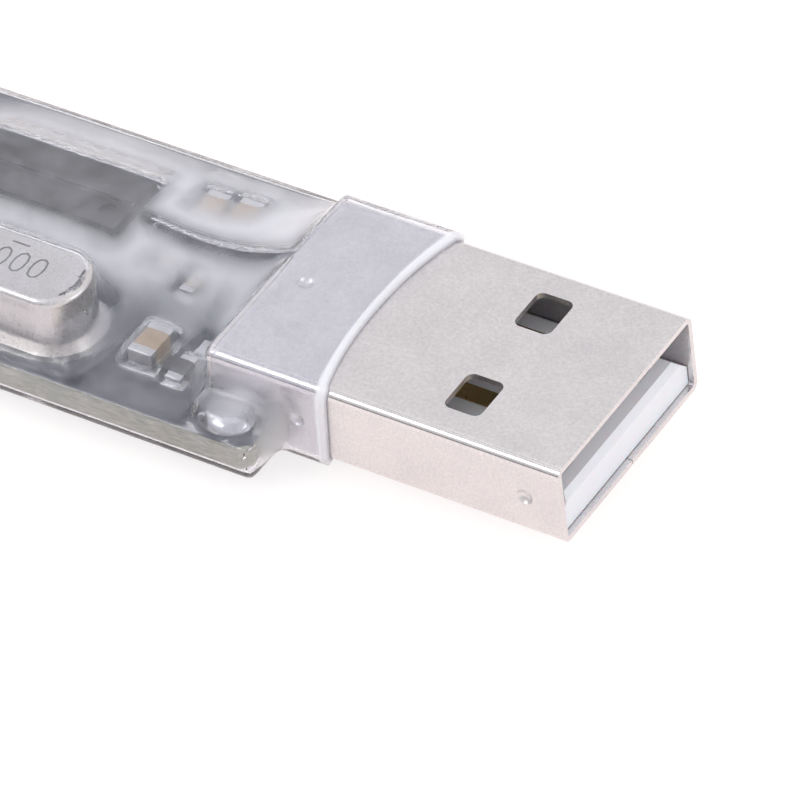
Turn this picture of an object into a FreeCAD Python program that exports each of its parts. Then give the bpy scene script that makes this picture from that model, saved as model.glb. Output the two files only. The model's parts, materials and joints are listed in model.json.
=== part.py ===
import FreeCAD, Part
import math
import os

# USB serial programmer stick for microcontrollers, in millimetres.
# While it is drawn, x = 0 is the plug's mouth, -X runs back along the stick, y = 0 is the
# stick's middle and z = 0 is the underside of the plug shell. PLACE then moves every piece
# so that the origin is the middle of the stick's box, on the surface that it lies on.

# ---- Driving dimensions ----------------------------------------------------------------
FIT = 0.05                      # clearance between pieces that fit together

# Plug shell
SHELL_LENGTH = 19.1
SHELL_WIDTH = 12.0
SHELL_HEIGHT = 4.5
SHELL_WALL = 0.3
SHELL_CORNER = 0.45             # outer radius of the long folds
WINDOW_LENGTH = 2.0
WINDOW_WIDTH = 2.5
WINDOW_CORNER = 0.4
WINDOW_SETBACK = 6.25           # mouth to the middle of a window
WINDOW_SPREAD = 3.1             # stick's middle to the middle of a window
SEAM_GAP = 0.05
SEAM_KEY = 1.2                  # reach of the dovetail that locks the seam
SEAM_NECK = 0.8                 # share of that reach that is left at the dovetail's neck
DIMPLE_BALL = 0.5               # radius of the punch that presses a dimple
DIMPLE_DEPTH = 0.24
SHEET_STRETCH = 0.8             # share of the sheet's thickness that is left behind a dimple
FRONT_DIMPLE_SETBACK = 2.0
SIDE_DIMPLE_SETBACK = 14.4
TOP_DIMPLE_SETBACK = 17.45
TAB_LENGTH = 2.0
TAB_REACH = 1.3

# Plug insulator and contacts
INSULATOR_SETBACK = 0.3         # mouth to the front of the tongue
TONGUE_LENGTH = 11.6
TONGUE_THICKNESS = 1.84
TONGUE_CORNER = 0.8
TONGUE_LEAD_IN = 0.3
INSULATOR_BACK_GAP = 0.5        # back of the insulator to the back of the shell
CONTACT_WIDTH = 1.0
CONTACT_THICKNESS = 0.2
CONTACT_PROUD = 0.03
CONTACT_STEP = 0.1              # notch's floor to where a contact steps down
FOOT_SETBACK = 0.9              # notch's floor to the front of a contact's foot
CONTACT_FOOT = 1.5
CONTACTS = {                    # name: (place across the plug, setback of its front)
    "contact_power": (-3.5, 1.3),
    "contact_data_minus": (-1.0, 2.3),
    "contact_data_plus": (1.0, 2.3),
    "contact_ground": (3.5, 1.3),
}

# Circuit board
BOARD_LENGTH = 32.0             # floor of the plug's notch to the back edge
BOARD_WIDTH = 16.4
BOARD_THICKNESS = 1.2
BOARD_LIFT = 0.05               # underside of the shell to the underside of the board
BOARD_CORNER = 0.5
EAR_LENGTH = 3.2
NOTCH_GAP = 0.1

# Crystal
CRYSTAL_BEHIND_NOTCH = 12.7
CRYSTAL_FROM_EDGE = 3.2
FLANGE_LENGTH = 11.05
FLANGE_WIDTH = 4.65
FLANGE_THICKNESS = 0.4
FLANGE_RIM = 0.45               # width of the flange outside the can
CAN_HEIGHT = 3.1
CAN_WALL = 0.2
CAN_TOP_WALL = 0.3
CAN_EDGE = 0.3
CRYSTAL_PITCH = 4.88
CRYSTAL_LEAD_RADIUS = 0.215
CRYSTAL_LEAD_RISE = 1.0         # how far a lead stands into the can
BLANK_LENGTH = 6.8
BLANK_WIDTH = 1.9
BLANK_THICKNESS = 0.12
BLANK_LIFT = 0.45

# Bridge chip
CHIP_BEHIND_NOTCH = 14.8
CHIP_OFFSET = 2.45              # stick's middle to the chip's middle, away from the crystal
CHIP_WIDTH = 3.9
CHIP_HEIGHT = 1.65
CHIP_STANDOFF = 0.1
CHIP_DRAFT = 0.12
CHIP_END_CUT = 0.26             # the body is this much shorter than its row of lead pitches
MARK_RADIUS = 0.45              # round mark at the chip's first lead
MARK_INSET = 1.1
MARK_DEPTH = 0.08
LEAD_COUNT = 8                  # leads on one side
LEAD_PITCH = 1.27
LEAD_WIDTH = 0.42
LEAD_THICKNESS = 0.2
LEAD_REACH = 1.05               # side of the body to the tip of a lead
LEAD_SHOULDER = 0.35
LEAD_FOOT = 0.65

# Chip capacitors, resistors and LEDs: (length, width, height)
LARGE_CHIP = (2.0, 1.25, 1.1)
MIDDLE_CHIP = (2.0, 1.25, 0.8)
SMALL_CHIP = (1.6, 0.8, 0.5)
TERMINAL_SHARE = 0.2            # share of a chip's length that each terminal covers
TERMINAL_LIP = 0.02             # how far the terminals stand proud of the body
LARGE_CAPACITOR = (4.4, -4.6)   # (behind the notch's floor, across the board)
BYPASS_CAPACITORS = ((7.3, 4.9), (5.5, 5.1))
LOAD_CAPACITORS = ((7.2, 1.0), (5.2, 0.3))
SIDE_RESISTOR = (2.4, -5.1)
LED_BEHIND_NOTCH = 24.7
LED_ROW = (-5.0, -2.5, 0.0)
LED_TO_RESISTOR = 2.9
LENS_INSET = 0.12
LENS_HEIGHT = 0.45

# Pin header
HEADER_PITCH = 2.54
HEADER_PINS = 6
HEADER_CHAMFER = 0.4
PIN_SIDE = 0.64
PIN_FREE = 6.0                  # free length of a pin behind the housing
PIN_BEND = 0.5
PIN_BEND_CUT = 0.125            # the bend's corner is cut off by this much
PIN_TAPER = 0.15
PIN_ROW_FROM_EDGE = 3.6         # back edge of the board to the row of pin holes
PIN_ROW_TO_HOUSING = 1.5
PIN_FIT = 0.01                  # gap round a pin in the housing
PIN_HOLE_GAP = 0.06             # corner of a pin to the side of its hole in the board
LEAD_HOLE_GAP = 0.135           # side of a crystal lead to the side of its hole
TAIL_LENGTH = 1.1               # how far leads and pins stand out under the board

# Jumper cap
CAP_PINS = (0, 1)               # pins that the cap bridges, counted from the crystal's side
CAP_GAP = 0.75                  # header housing to the mouth of a cap that is pushed home
CAP_WALL = 0.4
CAP_WEB = 0.5
CAP_WEB_DEPTH = 3.0
CLIP_THICKNESS = 0.2
CLIP_LEAF = 3.9
CLIP_WIDTH = 1.5

# Solder
TAB_SOLDER = (1.4, 1.25, 0.75)  # half length, half width and height of a mound
TAB_SOLDER_MIDDLE = (1.2, 0.625)  # back of the shell, and side of the shell, to its middle
FOOT_SOLDER_MARGIN = 0.3
FOOT_SOLDER_SLOPE = 0.18
FOOT_SOLDER_HEIGHT = 0.32
JOINT_RADIUS = 0.85
JOINT_TIP_RADIUS = 0.45
JOINT_HEIGHT = 0.75

# Heat-shrink sleeve
SLEEVE_WALL = 0.4
SLEEVE_GAP = 0.1
SLEEVE_OVER_SHELL = 6.2         # length of shell that the sleeve covers
SLEEVE_BACK_GAP = 0.2           # back of the header housing to the back of the sleeve
SLEEVE_FLARE = 0.5              # spread of a raised pocket's sides at the board
SLEEVE_NECK = 1.0               # length over which it necks in from the ears to the plug
SLEEVE_RAMP = 0.6               # back of the contact feet to the foot of the ramp over them
KEEL_COVER = 0.5                # how far the flat underneath reaches past the outermost tails

# ---- Places that follow from them --------------------------------------------------------
SHELL_BACK = -SHELL_LENGTH
NOTCH_FLOOR = SHELL_BACK - NOTCH_GAP
EAR_FRONT = NOTCH_FLOOR + EAR_LENGTH
BOARD_BACK = NOTCH_FLOOR - BOARD_LENGTH
BOARD_BOTTOM = BOARD_LIFT
BOARD_TOP = BOARD_BOTTOM + BOARD_THICKNESS
HALF_SHELL = SHELL_WIDTH / 2
DIMPLE_BACK = DIMPLE_BALL + SHELL_WALL * SHEET_STRETCH
HALF_BOARD = BOARD_WIDTH / 2
TONGUE_BOTTOM = SHELL_WALL + FIT
TONGUE_TOP = TONGUE_BOTTOM + TONGUE_THICKNESS
INSULATOR_BACK = SHELL_BACK + INSULATOR_BACK_GAP
BLOCK_FRONT = -INSULATOR_SETBACK - TONGUE_LENGTH
CONTACT_TOP = TONGUE_TOP + CONTACT_PROUD
FOOT_FRONT = NOTCH_FLOOR - FOOT_SETBACK
FOOT_BACK = FOOT_FRONT - CONTACT_FOOT
CRYSTAL_X = NOTCH_FLOOR - CRYSTAL_BEHIND_NOTCH
CRYSTAL_Y = CRYSTAL_FROM_EDGE - HALF_BOARD
CAN_LENGTH = FLANGE_LENGTH - 2 * FLANGE_RIM
CAN_WIDTH = FLANGE_WIDTH - 2 * FLANGE_RIM
FLANGE_TOP = BOARD_TOP + FLANGE_THICKNESS
CAN_TOP = FLANGE_TOP + CAN_HEIGHT
LEAD_HOLE_RADIUS = CRYSTAL_LEAD_RADIUS + LEAD_HOLE_GAP
CHIP_X = NOTCH_FLOOR - CHIP_BEHIND_NOTCH
CHIP_LENGTH = LEAD_COUNT * LEAD_PITCH - CHIP_END_CUT
LEAD_SPAN = CHIP_WIDTH + 2 * LEAD_REACH
CHIP_BOTTOM = BOARD_TOP + CHIP_STANDOFF
CHIP_TOP = CHIP_BOTTOM + CHIP_HEIGHT
PIN_ROW = BOARD_BACK + PIN_ROW_FROM_EDGE
HOUSING_FRONT = PIN_ROW - PIN_ROW_TO_HOUSING
HOUSING_BACK = HOUSING_FRONT - HEADER_PITCH
HOUSING_TOP = BOARD_TOP + HEADER_PITCH
HALF_HOUSING = HEADER_PINS * HEADER_PITCH / 2
PIN_HEIGHT = BOARD_TOP + HEADER_PITCH / 2
PIN_TIP = HOUSING_BACK - PIN_FREE
PIN_HOLE_RADIUS = PIN_SIDE / math.sqrt(2) + PIN_HOLE_GAP
PIN_PLACES = [(i - (HEADER_PINS - 1) / 2) * HEADER_PITCH for i in range(HEADER_PINS)]
TAIL_TIP = BOARD_BOTTOM - TAIL_LENGTH
CLIP_END = PIN_TIP - 2 * FIT
CAVITY_END = CLIP_END - CLIP_THICKNESS - FIT
CAP_BACK = CAVITY_END - CAP_WALL
CAP_FRONT = HOUSING_BACK - CAP_GAP
CAP_PLACES = [PIN_PLACES[i] for i in CAP_PINS]
CLIP_INNER = PIN_SIDE / 2 + FIT
CLIP_OUTER = CLIP_INNER + CLIP_THICKNESS
LIP = SHELL_BACK + SLEEVE_OVER_SHELL
SLEEVE_BACK = HOUSING_BACK + SLEEVE_BACK_GAP
SLEEVE_GROWTH = SLEEVE_GAP + SLEEVE_WALL
LOW_PARTS_TOP = BOARD_TOP + max(LARGE_CHIP[2], MIDDLE_CHIP[2], SMALL_CHIP[2], TAB_SOLDER[2])
LOWEST = TAIL_TIP - SLEEVE_GROWTH
PLACE = FreeCAD.Vector(-CAP_BACK / 2, 0, -LOWEST)
UP = FreeCAD.Vector(0, 0, 1)
REACH = 1.0                     # how far a cutting tool runs past what it cuts
SMALL = 1e-6


# ---- Shapes used all over ----------------------------------------------------------------
def box(x0, x1, y0, y1, z0, z1):
    corner = FreeCAD.Vector(min(x0, x1), min(y0, y1), min(z0, z1))
    return Part.makeBox(abs(x1 - x0), abs(y1 - y0), abs(z1 - z0), corner)


def edges_along(shape, axis):
    """The straight edges of a block that run along X, Y or Z (0, 1 or 2)."""
    return [e for e in shape.Edges if abs(e.tangentAt(e.FirstParameter)[axis]) > 1 - SMALL]


def bar_along_x(x0, x1, half_width, z0, z1, radius):
    """A box along X with its four long edges rounded."""
    bar = box(x0, x1, -half_width, half_width, z0, z1)
    return bar.makeFillet(radius, edges_along(bar, 0))


def prism(points, along):
    """A closed outline of points, extruded by the vector along."""
    corners = [FreeCAD.Vector(*p) for p in points]
    return Part.Face(Part.makePolygon(corners + corners[:1])).extrude(along)


def side_prism(outline, y0, y1):
    """An outline of (x, z) points, extruded across the stick."""
    return prism([(x, y0, z) for x, z in outline], FreeCAD.Vector(0, y1 - y0, 0))


def frustum(x, y, bottom, top, z0, z1):
    """A block with sloping sides; bottom and top give its (half length, half width)."""
    rings = []
    for (half_x, half_y), z in ((bottom, z0), (top, z1)):
        ring = [(-half_x, -half_y), (half_x, -half_y), (half_x, half_y), (-half_x, half_y)]
        ring = [FreeCAD.Vector(x + dx, y + dy, z) for dx, dy in ring]
        rings.append(Part.makePolygon(ring + ring[:1]))
    return Part.makeLoft(rings, True, True)


def stadium(x, y, length, width, z0, z1):
    """An upright block with half-round ends."""
    radius = width / 2
    straight = length / 2 - radius
    middle = box(x - straight, x + straight, y - radius, y + radius, z0, z1)
    ends = [Part.makeCylinder(radius, z1 - z0, FreeCAD.Vector(x + dx, y, z0))
            for dx in (-straight, straight)]
    return join([middle] + ends)


def ribbon(path, thickness):
    """Outline of a strip of even thickness along a path of 2-D points."""
    headings = [math.atan2(b[1] - a[1], b[0] - a[0]) for a, b in zip(path, path[1:])]
    headings = [headings[0]] + headings + [headings[-1]]
    left = []
    right = []
    for (px, py), before, after in zip(path, headings, headings[1:]):
        normal = (before + after) / 2 + math.pi / 2
        reach = thickness / 2 / math.cos((after - before) / 2)
        left.append((px + reach * math.cos(normal), py + reach * math.sin(normal)))
        right.append((px - reach * math.cos(normal), py - reach * math.sin(normal)))
    return left + right[::-1]


def join(shapes):
    first = shapes[0]
    if len(shapes) > 1:
        first = first.multiFuse(shapes[1:])
    return first.removeSplitter()


def mirrored(shape):
    """The same shape on the other side of the stick's middle."""
    return shape.mirror(FreeCAD.Vector(0, 0, 0), FreeCAD.Vector(0, 1, 0))


def save(name, shapes):
    """Write one node: its solids, moved to where the finished stick has them."""
    solids = [s for shape in shapes for s in shape.Solids]
    for solid in solids:
        solid.translate(PLACE)
    node = solids[0] if len(solids) == 1 else Part.makeCompound(solids)
    node.exportStep("parts/%s.step" % name)


# ---- Plug ----------------------------------------------------------------------------------
def dimple_balls(radius):
    """Balls centred where the punch stood for each dimple of the shell."""
    out = DIMPLE_BALL - DIMPLE_DEPTH
    middle = SHELL_HEIGHT / 2
    side = HALF_SHELL + out
    centres = [FreeCAD.Vector(-TOP_DIMPLE_SETBACK, 0, SHELL_HEIGHT + out)]
    for setback in (FRONT_DIMPLE_SETBACK, SIDE_DIMPLE_SETBACK):
        centres.append(FreeCAD.Vector(-setback, side, middle))
        centres.append(FreeCAD.Vector(-setback, -side, middle))
    return [Part.makeSphere(radius, c) for c in centres]


def window_cutters():
    cutters = []
    for side in (-1, 1):
        y = side * WINDOW_SPREAD
        cutter = box(-WINDOW_SETBACK - WINDOW_LENGTH / 2, -WINDOW_SETBACK + WINDOW_LENGTH / 2,
                     y - WINDOW_WIDTH / 2, y + WINDOW_WIDTH / 2, -REACH, SHELL_HEIGHT + REACH)
        cutters.append(cutter.makeFillet(WINDOW_CORNER, edges_along(cutter, 2)))
    return cutters


def seam_cutter():
    """A thin slot along the underside that swings round one dovetail key."""
    middle = SHELL_BACK / 2
    neck = SEAM_KEY * SEAM_NECK
    path = [(REACH, 0), (middle + neck, 0), (middle + SEAM_KEY, SEAM_KEY),
            (middle - SEAM_KEY, SEAM_KEY), (middle - neck, 0), (SHELL_BACK - REACH, 0)]
    outline = [(x, y, -REACH) for x, y in ribbon(path, SEAM_GAP)]
    return prism(outline, UP * (REACH + SHELL_WALL + FIT))


def plug_shell():
    outer = bar_along_x(SHELL_BACK, 0, HALF_SHELL, 0, SHELL_HEIGHT, SHELL_CORNER)
    inner = bar_along_x(SHELL_BACK - REACH, REACH, HALF_SHELL - SHELL_WALL, SHELL_WALL,
                        SHELL_HEIGHT - SHELL_WALL, SHELL_CORNER - SHELL_WALL)
    bumps = [ball.common(inner) for ball in dimple_balls(DIMPLE_BACK)]
    tab = box(SHELL_BACK, SHELL_BACK + TAB_LENGTH, HALF_SHELL - SHELL_WALL,
              HALF_SHELL + TAB_REACH, BOARD_TOP, BOARD_TOP + SHELL_WALL)
    shell = join([outer.cut(inner), tab, mirrored(tab)] + bumps)
    return shell.cut(window_cutters() + [seam_cutter()] + dimple_balls(DIMPLE_BALL))


def contact_slots():
    """Grooves in the tongue that run on as slots through the block."""
    slots = []
    for place, setback in CONTACTS.values():
        half = CONTACT_WIDTH / 2 + FIT / 2
        bottom = CONTACT_TOP - CONTACT_THICKNESS - FIT / 2
        slots.append(box(SHELL_BACK - REACH, -setback + FIT, place - half, place + half,
                         bottom, CONTACT_TOP + FIT / 2))
    return slots


def plug_insulator():
    half = HALF_SHELL - SHELL_WALL - FIT
    tongue = box(BLOCK_FRONT, -INSULATOR_SETBACK, -half, half, TONGUE_BOTTOM, TONGUE_TOP)
    front = max(v.X for v in tongue.Vertexes)
    upper = [e for e in tongue.Edges if e.BoundBox.ZMin > TONGUE_TOP - FIT]
    tongue = tongue.makeChamfer(TONGUE_CORNER, [e for e in upper if e.BoundBox.YLength < FIT])
    lead_in = [e for e in tongue.Edges
               if e.BoundBox.XMin > front - FIT and e.BoundBox.ZMin > TONGUE_TOP - FIT]
    tongue = tongue.makeChamfer(TONGUE_LEAD_IN, lead_in)
    block = bar_along_x(INSULATOR_BACK, BLOCK_FRONT, half, TONGUE_BOTTOM,
                        SHELL_HEIGHT - SHELL_WALL - FIT, SHELL_CORNER - SHELL_WALL - FIT)
    pockets = dimple_balls(DIMPLE_BACK + FIT)
    return join([tongue, block]).cut(contact_slots() + pockets)


def plug_contact(place, setback):
    """A flat strip that steps down from the tongue to its foot on the board."""
    strip = CONTACT_TOP - CONTACT_THICKNESS / 2
    foot = BOARD_TOP + CONTACT_THICKNESS / 2
    path = [(-setback, strip), (NOTCH_FLOOR - CONTACT_STEP, strip),
            (FOOT_FRONT, foot), (FOOT_BACK, foot)]
    return side_prism(ribbon(path, CONTACT_THICKNESS),
                      place - CONTACT_WIDTH / 2, place + CONTACT_WIDTH / 2)


def foot_solder(place, contact):
    """A low mound of solder round the foot of one contact."""
    half_x = CONTACT_FOOT / 2 + FOOT_SOLDER_MARGIN
    half_y = CONTACT_WIDTH / 2 + FOOT_SOLDER_MARGIN
    top = (half_x - FOOT_SOLDER_SLOPE, half_y - FOOT_SOLDER_SLOPE)
    mound = frustum((FOOT_FRONT + FOOT_BACK) / 2, place, (half_x, half_y), top,
                    BOARD_TOP, BOARD_TOP + FOOT_SOLDER_HEIGHT)
    return mound.cut(contact)


def tab_solder(shell):
    """The mound that ties the shell's tab to the board's ear."""
    along, across = TAB_SOLDER_MIDDLE
    stretch = FreeCAD.Matrix()
    stretch.scale(*TAB_SOLDER)
    ball = Part.makeSphere(1).transformGeometry(stretch)
    ball.translate(FreeCAD.Vector(SHELL_BACK + along, -HALF_SHELL - across, BOARD_TOP))
    above = box(SHELL_BACK - REACH, EAR_FRONT, -HALF_BOARD, -HALF_SHELL, BOARD_TOP, BOARD_TOP + REACH)
    mound = ball.common(above).cut(shell)
    return max(mound.Solids, key=lambda s: s.Volume)


# ---- Board ---------------------------------------------------------------------------------
def circuit_board():
    notch = HALF_SHELL + NOTCH_GAP
    outline = [(EAR_FRONT, notch), (EAR_FRONT, HALF_BOARD - BOARD_CORNER),
               (EAR_FRONT - BOARD_CORNER, HALF_BOARD), (BOARD_BACK + BOARD_CORNER, HALF_BOARD),
               (BOARD_BACK, HALF_BOARD - BOARD_CORNER)]
    outline = [(x, -y) for x, y in outline] + [(x, y) for x, y in outline[::-1]]
    outline += [(NOTCH_FLOOR, notch), (NOTCH_FLOOR, -notch)]
    board = prism([(x, y, BOARD_BOTTOM) for x, y in outline], UP * BOARD_THICKNESS)
    holes = [(PIN_ROW, y, PIN_HOLE_RADIUS) for y in PIN_PLACES]
    holes += [(x, CRYSTAL_Y, LEAD_HOLE_RADIUS) for x in crystal_lead_places()]
    depth = BOARD_THICKNESS + 2 * REACH
    start = BOARD_BOTTOM - REACH
    return board.cut([Part.makeCylinder(r, depth, FreeCAD.Vector(x, y, start)) for x, y, r in holes])


def underside_joint(x, y, lead):
    """A cone of solder under the board, round a lead or pin."""
    cone = Part.makeCone(JOINT_RADIUS, JOINT_TIP_RADIUS, JOINT_HEIGHT,
                         FreeCAD.Vector(x, y, BOARD_BOTTOM), -UP)
    return cone.cut(lead)


# ---- Crystal -------------------------------------------------------------------------------
def crystal_lead_places():
    return [CRYSTAL_X - CRYSTAL_PITCH / 2, CRYSTAL_X + CRYSTAL_PITCH / 2]


def crystal_lead(x):
    length = FLANGE_TOP + CRYSTAL_LEAD_RISE - TAIL_TIP
    return Part.makeCylinder(CRYSTAL_LEAD_RADIUS, length, FreeCAD.Vector(x, CRYSTAL_Y, TAIL_TIP))


def crystal_base():
    plate = stadium(CRYSTAL_X, CRYSTAL_Y, FLANGE_LENGTH, FLANGE_WIDTH, BOARD_TOP, FLANGE_TOP)
    holes = [Part.makeCylinder(CRYSTAL_LEAD_RADIUS + FIT / 2, FLANGE_THICKNESS + 2 * REACH,
                               FreeCAD.Vector(x, CRYSTAL_Y, BOARD_TOP - REACH))
             for x in crystal_lead_places()]
    return plate.cut(holes)


def crystal_can():
    can = stadium(CRYSTAL_X, CRYSTAL_Y, CAN_LENGTH, CAN_WIDTH, FLANGE_TOP, CAN_TOP)
    rim = [e for e in can.Edges if e.BoundBox.ZMin > CAN_TOP - FIT]
    can = can.makeFillet(CAN_EDGE, rim)
    hollow = stadium(CRYSTAL_X, CRYSTAL_Y, CAN_LENGTH - 2 * CAN_WALL, CAN_WIDTH - 2 * CAN_WALL,
                     FLANGE_TOP - REACH, CAN_TOP - CAN_TOP_WALL)
    return can.cut(hollow)


def quartz_blank():
    near = CRYSTAL_Y + CRYSTAL_LEAD_RADIUS + FIT / 2
    bottom = FLANGE_TOP + BLANK_LIFT
    return box(CRYSTAL_X - BLANK_LENGTH / 2, CRYSTAL_X + BLANK_LENGTH / 2,
               near, near + BLANK_THICKNESS, bottom, bottom + BLANK_WIDTH)


# ---- Bridge chip ---------------------------------------------------------------------------
def chip_body():
    half = (CHIP_LENGTH / 2, CHIP_WIDTH / 2)
    drawn_in = (half[0] - CHIP_DRAFT, half[1] - CHIP_DRAFT)
    middle = CHIP_BOTTOM + CHIP_HEIGHT / 2
    lower = frustum(CHIP_X, CHIP_OFFSET, drawn_in, half, CHIP_BOTTOM, middle)
    upper = frustum(CHIP_X, CHIP_OFFSET, half, drawn_in, middle, CHIP_TOP)
    mark = Part.makeCylinder(MARK_RADIUS, REACH)
    mark.translate(FreeCAD.Vector(CHIP_X + half[0] - MARK_INSET, CHIP_OFFSET - half[1] + MARK_INSET,
                                  CHIP_TOP - MARK_DEPTH))
    return join([lower, upper]).cut(mark)


def chip_leads():
    """Gull-wing leads along both long sides."""
    middle = CHIP_BOTTOM + CHIP_HEIGHT / 2
    foot = BOARD_TOP + LEAD_THICKNESS / 2
    shoulder = CHIP_WIDTH / 2 + LEAD_SHOULDER
    heel = LEAD_SPAN / 2 - LEAD_FOOT
    path = [(CHIP_WIDTH / 2, middle), (shoulder, middle), (heel, foot), (LEAD_SPAN / 2, foot)]
    outline = ribbon(path, LEAD_THICKNESS)
    leads = []
    for i in range(LEAD_COUNT):
        x = CHIP_X + (i - (LEAD_COUNT - 1) / 2) * LEAD_PITCH - LEAD_WIDTH / 2
        for side in (-1, 1):
            points = [(x, CHIP_OFFSET + side * y, z) for y, z in outline]
            leads.append(prism(points, FreeCAD.Vector(LEAD_WIDTH, 0, 0)))
    return leads


# ---- Chip parts on the board ---------------------------------------------------------------
def two_ended(place, size, along_x=False):
    """The body and the two terminals of a chip part; place is (behind the notch, across)."""
    x = NOTCH_FLOOR - place[0]
    y = place[1]
    length, width, height = size
    half = length / 2
    inner = half - length * TERMINAL_SHARE

    def piece(near, far, half_width, top):
        if along_x:
            return box(x + near, x + far, y - half_width, y + half_width, BOARD_TOP, top)
        return box(x - half_width, x + half_width, y + near, y + far, BOARD_TOP, top)

    top = BOARD_TOP + height
    body = piece(-inner, inner, width / 2 - TERMINAL_LIP, top - TERMINAL_LIP)
    return body, [piece(side * inner, side * half, width / 2, top) for side in (-1, 1)]


def save_chip_parts(name, places, size):
    bodies = []
    terminals = []
    for place in places:
        body, ends = two_ended(place, size)
        bodies.append(body)
        terminals += ends
    save(name + "_bodies" if len(places) > 1 else name + "_body", bodies)
    save(name + "_terminals", terminals)


def leds():
    """Bases, lenses and terminals of the indicator lamps."""
    bases = []
    lenses = []
    terminals = []
    length, width, height = MIDDLE_CHIP
    base_size = (length, width, height - LENS_HEIGHT)
    for y in LED_ROW:
        place = (LED_BEHIND_NOTCH, y)
        base, ends = two_ended(place, base_size, along_x=True)
        bases.append(base)
        terminals += ends
        half_x = length / 2 - length * TERMINAL_SHARE
        half_y = width / 2 - LENS_INSET
        bottom = BOARD_TOP + height - LENS_HEIGHT - TERMINAL_LIP
        top = (half_x - LENS_INSET, half_y - LENS_INSET)
        lenses.append(frustum(NOTCH_FLOOR - LED_BEHIND_NOTCH, y, (half_x, half_y), top,
                              bottom, bottom + LENS_HEIGHT))
    return bases, lenses, terminals


def resistors():
    """The resistor beside the large capacitor and one in line with each lamp."""
    bodies = []
    terminals = []
    spots = [(SIDE_RESISTOR, False)]
    spots += [((LED_BEHIND_NOTCH - LED_TO_RESISTOR, y), True) for y in LED_ROW]
    for place, along_x in spots:
        body, ends = two_ended(place, SMALL_CHIP, along_x)
        bodies.append(body)
        terminals += ends
    return bodies, terminals


# ---- Pin header and jumper -----------------------------------------------------------------
def header_housing():
    """One moulded block of octagonal cells, each with a square hole for its pin."""
    half = HEADER_PITCH / 2
    inset = half - HEADER_CHAMFER
    octagon = [(-half, -inset), (-inset, -half), (inset, -half), (half, -inset),
               (half, inset), (inset, half), (-inset, half), (-half, inset)]
    cells = []
    holes = []
    hole = PIN_SIDE / 2 + PIN_FIT
    for y in PIN_PLACES:
        outline = [(HOUSING_BACK, y + dy, PIN_HEIGHT + dz) for dy, dz in octagon]
        cells.append(prism(outline, FreeCAD.Vector(HEADER_PITCH, 0, 0)))
        holes.append(box(HOUSING_BACK - REACH, HOUSING_FRONT + REACH, y - hole, y + hole,
                         PIN_HEIGHT - hole, PIN_HEIGHT + hole))
    return join(cells).cut(holes)


def header_pin(y):
    """A square pin, bent down into its hole, with a tapered tip."""
    path = [(PIN_TIP + PIN_TAPER, PIN_HEIGHT), (PIN_ROW - PIN_BEND, PIN_HEIGHT),
            (PIN_ROW - PIN_BEND_CUT, PIN_HEIGHT - PIN_BEND_CUT),
            (PIN_ROW, PIN_HEIGHT - PIN_BEND), (PIN_ROW, TAIL_TIP)]
    half = PIN_SIDE / 2
    shank = side_prism(ribbon(path, PIN_SIDE), y - half, y + half)
    rings = []
    for x, side in ((PIN_TIP + PIN_TAPER, half), (PIN_TIP, half - PIN_TAPER)):
        ring = [FreeCAD.Vector(x, y + dy * side, PIN_HEIGHT + dz * side)
                for dy, dz in ((-1, -1), (1, -1), (1, 1), (-1, 1))]
        rings.append(Part.makePolygon(ring + ring[:1]))
    return join([shank, Part.makeLoft(rings, True, True)])


def jumper_housing():
    """The cap's moulded box: one cavity, with a web between the two pins at its mouth."""
    middle = sum(CAP_PLACES) / len(CAP_PLACES)
    half_y = HEADER_PITCH - FIT
    half_z = HEADER_PITCH / 2 - FIT
    block = box(CAP_BACK, CAP_FRONT, middle - half_y, middle + half_y,
                PIN_HEIGHT - half_z, PIN_HEIGHT + half_z)
    block = block.makeChamfer(HEADER_CHAMFER / 2, edges_along(block, 0))
    half_z = CLIP_OUTER + FIT
    cavity = box(CAVITY_END, CAP_FRONT + REACH, middle - half_y + CAP_WALL,
                 middle + half_y - CAP_WALL, PIN_HEIGHT - half_z, PIN_HEIGHT + half_z)
    web = box(CAP_FRONT - CAP_WEB_DEPTH, CAP_FRONT, middle - CAP_WEB / 2, middle + CAP_WEB / 2,
              PIN_HEIGHT - half_z - CAP_WALL / 2, PIN_HEIGHT + half_z + CAP_WALL / 2)
    return join([block.cut(cavity), web])


def jumper_clip():
    """A sheet hairpin: an end plate across both pins and two leaves along each."""
    back = CLIP_END - CLIP_THICKNESS
    middle = sum(CAP_PLACES) / len(CAP_PLACES)
    half_y = HEADER_PITCH / 2 + CLIP_WIDTH / 2
    sheets = [box(back, CLIP_END, middle - half_y, middle + half_y,
                  PIN_HEIGHT - CLIP_OUTER, PIN_HEIGHT + CLIP_OUTER)]
    for y in CAP_PLACES:
        for side in (-1, 1):
            sheets.append(box(back, back + CLIP_LEAF, y - CLIP_WIDTH / 2, y + CLIP_WIDTH / 2,
                              PIN_HEIGHT + side * CLIP_INNER, PIN_HEIGHT + side * CLIP_OUTER))
    return join(sheets)


# ---- Heat-shrink sleeve --------------------------------------------------------------------
def board_tube(g, end):
    """The stretch of sleeve along the board, necked in to the plug in front of the ears."""
    edge = HALF_BOARD + g
    shelf = HALF_BOARD - SLEEVE_FLARE * 2
    section = [(-edge, BOARD_BOTTOM - g), (edge, BOARD_BOTTOM - g), (edge, BOARD_TOP + g),
               (shelf, LOW_PARTS_TOP + g), (-shelf, LOW_PARTS_TOP + g), (-edge, BOARD_TOP + g)]
    front = EAR_FRONT + g + SLEEVE_NECK
    tube = prism([(SLEEVE_BACK - end, y, z) for y, z in section],
                 FreeCAD.Vector(front - SLEEVE_BACK + end, 0, 0))
    neck = HALF_SHELL + g
    plan = [(front, neck), (EAR_FRONT + g, edge), (SLEEVE_BACK - end, edge)]
    plan += [(x, -y) for x, y in plan[::-1]]
    keep = prism([(x, y, -SHELL_HEIGHT) for x, y in plan], UP * SHELL_HEIGHT * 3)
    return tube.common(keep)


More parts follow.
